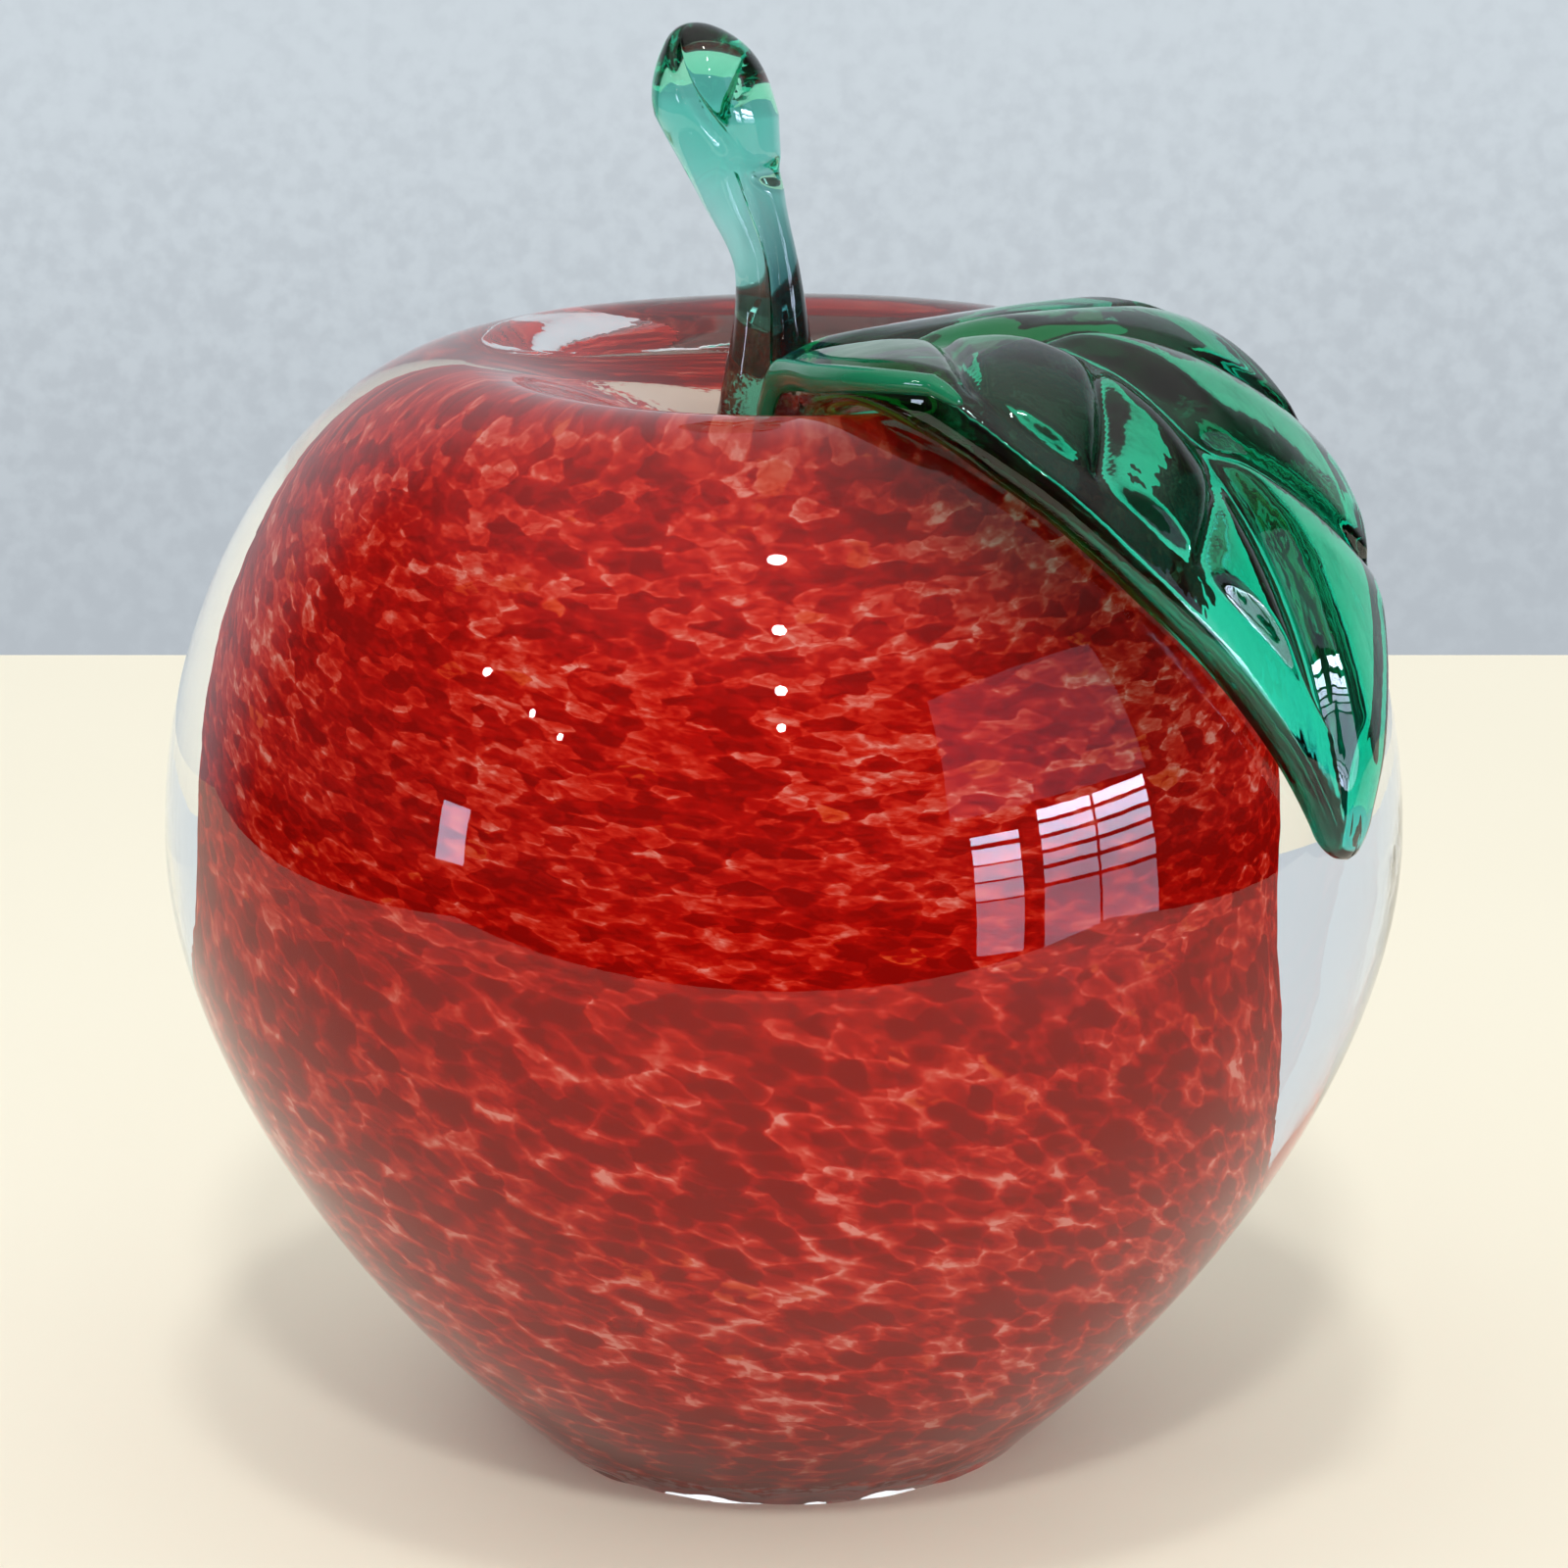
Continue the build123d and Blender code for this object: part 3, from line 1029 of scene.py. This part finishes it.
        def place(share: float, turn: float) -> Vector:
            """Point of the leaf for a share of its length from the point and an angle round it."""
            along = 1.0 - 2.0 * share
            middle, across_way, up, fall = self.section(along)
            ending = min(1.0, (1.0 - abs(along)) / (self.end_round if along > 0 else self.stalk_end_round))
            tapered = math.sqrt(max(1.0 - (1.0 - ending) ** 2, 0.0))
            side = LeafSide.BACK if math.cos(turn) > 0 else LeafSide.FRONT
            shares = self.back_shares if side is LeafSide.BACK else self.front_shares
            half = eased(shares, along) * self.half_width * tapered
            across = half * math.cos(turn)
            edge = self.back_edge if side is LeafSide.BACK else self.front_edge
            thinned = 1.0 - (1.0 - self.point_thickness / self.thickness) * max(along, 0.0) ** 3
            crown = self.thickness - (self.thickness - edge) * math.cos(turn) ** 2
            raised = self.stalk_lift * smooth_step(*self.lift_span, along)
            top = crown * thinned + self.relief(along, across, half) + raised
            base = middle + across_way * across - up * (fall * across**2)
            radius, height = math.hypot(base.x, base.y), base.z
            ground_r, ground_h = skin.nearest(radius * MM, height * MM)
            ground = Vector((base.x * ground_r / MM / radius, base.y * ground_r / MM / radius, ground_h / MM))
            ground_up = (ground - base).dot(up)
            hung = -self.stalk_drop - self.stalk_bed * (1.0 + along) if along < 0 else ground_up - self.hang
            room = half - abs(across)
            curled = smooth_step(self.curl_width, self.curl_share * self.curl_width, room)
            curl = (self.bed + self.curl) * curled
            rolled = smooth_step(*self.rolled_span, along)
            curl += (self.bed + self.stalk_gap - curl) * rolled
            bottom = max(ground_up - self.bed + curl, hung)
            above = math.sin(turn) >= 0
            plain = self.top_round if above else self.foot_round
            bead = plain + (self.stalk_round - plain) * rolled
            bead = self.back_round if above and side is LeafSide.BACK else bead
            bead = min(bead, self.bead_share * half + self.least)
            rounding = max(abs(across) - (half - bead), 0.0) / bead
            profile = max(1.0 - rounding**self.roundness, 0.0) ** (1.0 / self.roundness)
            edge_middle = 0.5 * (edge * thinned + raised + bottom)
            lift = top if above else bottom
            lift = edge_middle + (lift - edge_middle) * profile * tapered
            return (base + up * lift) * MM

        bm = drawn_out(self.faces_around, self.faces_along, place)
        return finished(bm, "green_leaf", finish.build(), "leaf")

    def roll(self, finish: GlassFinish) -> bpy.types.Object:
        """Draw the rolled edge that runs from the foot of the stem along the front of the leaf.

        Args:
            finish: Its glass.

        Returns:
            The finished roll.
        """

        def place(share: float, turn: float) -> Vector:
            """Point of the roll for a share of its length from the stem and an angle round it."""
            along = -1.0 + share * self.roll_length
            middle, across_way, up, fall = self.section(along)
            ending = min(1.0, share / self.roll_end, (1.0 - share) / self.roll_end)
            radius = self.roll_radius - (self.roll_radius - self.roll_thin) * share
            radius *= math.sqrt(max(1.0 - (1.0 - ending) ** 2, 0.0))
            across = -eased(self.front_shares, along) * self.half_width + self.roll_inset
            drop = self.roll_drop * smooth_step(self.roll_fall, 0.0, share)
            lift = self.front_edge + self.stalk_lift * smooth_step(*self.lift_span, along) - drop
            centre = middle + across_way * across + up * (lift - fall * across**2)
            return (centre + across_way * (radius * math.cos(turn)) + up * (radius * math.sin(turn))) * MM

        bm = drawn_out(self.roll_around, self.roll_along, place)
        return finished(bm, "green_leaf_roll", finish.build(), "leaf")


class LampRole(Enum):
    """What a lamp is there for."""

    SHADOW = "lights the table and throws the shadow"
    INNER = "lights the core through the glass"
    MIRROR = "shows as a highlight on the glass"


@dataclass(frozen=True)
class Lamp:
    """One lamp of the studio."""

    name: str
    role: LampRole
    place: Place
    size: Pair
    glow: float
    colour: Colour = (1.0, 1.0, 1.0)
    aim: Place = (0.0, 0.0, 0.05)
    shape: str = "RECTANGLE"

    def build(self) -> bpy.types.Object:
        """Hang the lamp, turn it to what it lights and let only its own kind of ray see it.

        Returns:
            The lamp.
        """
        data = bpy.data.lights.new(self.name, "AREA")
        data.shape = self.shape
        data.size, data.size_y = self.size
        data.energy = self.glow * math.pi * self.size[0] * self.size[1]
        data.color = self.colour
        lamp = bpy.data.objects.new(self.name, data)
        lamp.location = self.place
        lamp.rotation_euler = (Vector(self.aim) - Vector(self.place)).to_track_quat("-Z", "Y").to_euler()
        lamp.visible_diffuse = self.role is LampRole.SHADOW
        lamp.visible_transmission = self.role is LampRole.INNER
        lamp.visible_glossy = self.role is LampRole.MIRROR
        bpy.context.scene.collection.objects.link(lamp)
        return lamp


@dataclass(frozen=True)
class WindowLight:
    """Window of several panes that shows as a highlight on the glass."""

    name: str
    distance: float
    columns: Sequence[Pair]
    rows: Sequence[tuple[float, float, float]]
    colour: Colour = (0.66, 0.76, 1.0)

    def panes(self) -> list[Lamp]:
        """One lamp for each pane.

        Returns:
            Lamps placed by the bearing of the columns and the height of the rows, which also give their glow.
        """
        lamps = []
        for k, (start, end) in enumerate(self.columns):
            bearing = math.radians((start + end) / 2)
            x, y = self.distance * math.sin(bearing), -self.distance * math.cos(bearing)
            width = 2 * self.distance * math.tan(math.radians(end - start) / 2)
            for j, (low, high, glow) in enumerate(self.rows):
                height = (low + high) / 2
                name, spot, aim = f"{self.name}_{k}_{j}", (x, y, height), (0.0, 0.0, height)
                lamps.append(Lamp(name, LampRole.MIRROR, spot, (width, high - low), glow, self.colour, aim))
        return lamps


@dataclass
class Studio:
    """Pale table, backdrop, lamps and camera."""

    eye: Place = (0.0, -0.42296, 0.17128)
    aim: Place = (0.0, 0.0, 0.0543)
    lens: float = 124.2
    sensor: float = 36.0
    bounces: int = 20
    table_width: float = 0.80
    table_depth: float = 0.52
    table_gap: float = 0.2 * MM
    wall: Colour = (0.62, 0.685, 0.735)
    wall_foot: Colour = (0.47, 0.515, 0.56)
    wall_fade: Pair = (-0.26, -0.10)
    wall_reach: Pair = (0.35, 0.75)
    plaster_size: float = 0.004
    plaster_drift: Band = (0.3, 0.7, -0.02, 0.02)
    room: Colour = (0.09, 0.085, 0.08)
    room_floor: Colour = (0.025, 0.023, 0.02)
    room_fade: Pair = (-0.08, 0.05)
    ceiling: Colour = (0.85, 0.85, 0.83)
    ceiling_reach: Pair = (0.5, 1.0)
    fill_low: Colour = (0.34, 0.34, 0.35)
    fill_top: Colour = (1.0, 1.0, 1.0)
    spot_rows: Sequence[tuple[float, Sequence[float]]] = (
        (-0.04, (-0.67, -1.36, -2.10, -2.73)),
        (-2.5, (-1.18, -2.0, -2.58)),
    )
    spot_height: float = 1.68
    spot_size: float = 0.09
    spot_glow: float = 60.0
    lamps: Sequence[Lamp] = (
        Lamp("key", LampRole.SHADOW, (0.0, -0.45, 1.6), (0.16, 0.16), 68.0),
        Lamp("front_key", LampRole.SHADOW, (0.0, -1.4, 1.6), (0.20, 0.20), 100.0),
        Lamp("overhead", LampRole.INNER, (0.0, -0.2, 1.1), (1.2, 1.2), 0.6),
    )
    windows: Sequence[WindowLight] = (
        WindowLight(
            "window_near",
            WINDOW_DISTANCE,
            ((33.6, 42.4),),
            (
                (0.265, 0.300, 30.0), (0.180, 0.245, 26.0), (0.110, 0.172, 16.0),
                (0.030, 0.102, 11.0), (-0.200, 0.022, 6.0),
            ),
        ),
        WindowLight(
            "window_far",
            WINDOW_DISTANCE,
            ((46.5, 57.0), (57.6, 69.0)),
            (
                (0.318, 0.362, 44.0), (0.256, 0.302, 30.0), (0.194, 0.240, 19.0),
                (0.132, 0.178, 13.0), (0.058, 0.116, 9.0), (-0.200, 0.042, 5.0),
            ),
        ),
        WindowLight("window_blind", WINDOW_DISTANCE, ((30.0, 70.0),), ((0.40, 1.1, 1.05),)),
        WindowLight("window_left", WINDOW_DISTANCE, ((-63.5, -57.5),), ((0.07, 0.30, 14.0),)),
    )

    def build(self) -> None:
        """Set up the table, the backdrop, the lamps and the camera."""
        self.build_table()
        self.build_world()
        for lamp in [*self.lamps, *self.spots()]:
            lamp.build()
        for window in self.windows:
            for pane in window.panes():
                pane.build()
        self.build_camera()

    def spots(self) -> list[Lamp]:
        """Rows of small ceiling spots that sparkle on the glass."""
        size, glow, high = (self.spot_size, self.spot_size), self.spot_glow, self.spot_height
        return [
            Lamp(f"spot_{k}_{j}", LampRole.MIRROR, (x, y, high), size, glow, shape="ELLIPSE")
            for k, (x, row) in enumerate(self.spot_rows)
            for j, y in enumerate(row)
        ]

    def build_table(self) -> None:
        """Lay the pale table top under the apple."""
        bm = bmesh.new()
        bmesh.ops.create_grid(bm, x_segments=1, y_segments=1, size=0.5)
        bmesh.ops.scale(bm, vec=(self.table_width, self.table_depth, 1.0), verts=bm.verts[:])
        bmesh.ops.translate(bm, vec=(0.0, 0.0, -self.table_gap), verts=bm.verts[:])
        mesh = bpy.data.meshes.new("table_top")
        bm.to_mesh(mesh)
        bm.free()
        mesh.materials.append(CREAM_TABLE.build())
        table = bpy.data.objects.new("table_top", mesh)
        bpy.context.scene.collection.objects.link(table)

    def build_world(self) -> None:
        """Pale wall for what is seen, a dimmer room and ceiling for what is mirrored."""
        world = bpy.data.worlds.new("studio")
        world.use_nodes = True
        world.node_tree.nodes.clear()
        board = Board(world.node_tree, "OutputWorld")
        facing = board.add("TexCoord").outputs["Generated"]
        way = board.add("SeparateXYZ", {"Vector": facing})
        behind = board.ramp(way.outputs["Y"], *self.wall_reach)
        above = board.ramp(way.outputs["Z"], *self.ceiling_reach)
        front = board.blend(board.ramp(way.outputs["Z"], *self.room_fade), self.room_floor, self.room)
        plaster = board.grain(facing, self.plaster_size, 4.0).outputs["Fac"]
        height = board.math("ADD", way.outputs["Z"], board.ramp(plaster, *self.plaster_drift))
        wall = board.blend(board.ramp(height, *self.wall_fade), self.wall_foot, self.wall)
        mirrored = board.blend(behind, front, wall)
        mirrored = board.blend(above, mirrored, self.ceiling)
        fill = board.blend(board.math("MAXIMUM", way.outputs["Z"], 0.0), self.fill_low, self.fill_top)
        path = board.add("LightPath").outputs
        seen = board.math("MAXIMUM", path["Is Camera Ray"], path["Is Transmission Ray"])
        colour = board.blend(seen, mirrored, wall)
        colour = board.blend(board.math("MINIMUM", path["Diffuse Depth"], 1.0), colour, fill)
        board.show(board.add("Background", {"Color": colour, "Strength": 1.0}))
        bpy.context.scene.world = world

    def build_camera(self) -> None:
        """Stand the camera at the photograph's viewing angle."""
        data = bpy.data.cameras.new("camera")
        data.sensor_width = self.sensor
        data.lens = self.lens
        camera = bpy.data.objects.new("camera", data)
        camera.location = self.eye
        camera.rotation_euler = (Vector(self.aim) - Vector(self.eye)).to_track_quat("-Z", "Y").to_euler()
        bpy.context.scene.collection.objects.link(camera)
        bpy.context.scene.camera = camera
        bpy.context.scene.view_settings.view_transform = "Standard"
        paths = bpy.context.scene.cycles
        paths.max_bounces = self.bounces
        paths.transmission_bounces = self.bounces
        paths.glossy_bounces = self.bounces


ROSE_GATHER = CloudyFinish(
    "rose_gather_glass", cloud=12 * MM, detail=3.0, span=(0.35, 0.65), rough=(0.05, 0.2),
    first=(0.42, 0.05, 0.05), second=(0.62, 0.16, 0.12),
)
CREAM_TABLE = CloudyFinish(
    "cream_table", cloud=0.12, detail=2.0, span=(0.0, 1.0), rough=(0.6, 0.6),
    first=(0.88, 0.83, 0.67), second=(0.90, 0.855, 0.70),
)
CLEAR_GLASS = GlassFinish(
    "clear_casing_glass", wave=22 * MM, line=3 * MM, relief=0.03 * MM,
    gloss=(0.6, 0.6, 0.6), light_through=0.38,
)
STEM_GLASS = StemFinish(
    "green_stem_glass", wave=5 * MM, line=1.5 * MM, relief=0.08 * MM,
    soaked=(0.01, 0.82, 0.70), soak=215.0,
)
LEAF_GLASS = GlassFinish(
    "green_leaf_glass", wave=6 * MM, line=1.8 * MM, relief=0.15 * MM,
    soaked=(0.053, 0.915, 0.84), soak=950.0,
)
ROLL_GLASS = GlassFinish(
    "green_roll_glass", wave=5 * MM, line=1.5 * MM, relief=0.06 * MM, tint=(0.02, 0.36, 0.17),
    soaked=(0.05, 0.89, 0.76), soak=300.0, clarity=0.5,
)


def main() -> None:
    """Build the apple piece by piece, then the studio around it."""
    logging.basicConfig(level=logging.INFO, format="%(name)s %(message)s")
    casing = ClearCasing()
    casing.build(CLEAR_GLASS)
    FritCore().build(FritFinish())
    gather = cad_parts["core_gather"]
    gather.data.materials.clear()
    gather.data.materials.append(ROSE_GATHER.build())
    Stem(casing).build(STEM_GLASS)
    leaf = Leaf(casing)
    leaf.build(LEAF_GLASS)
    leaf.roll(ROLL_GLASS)
    Studio().build()


if __name__ == "__main__":
    main()
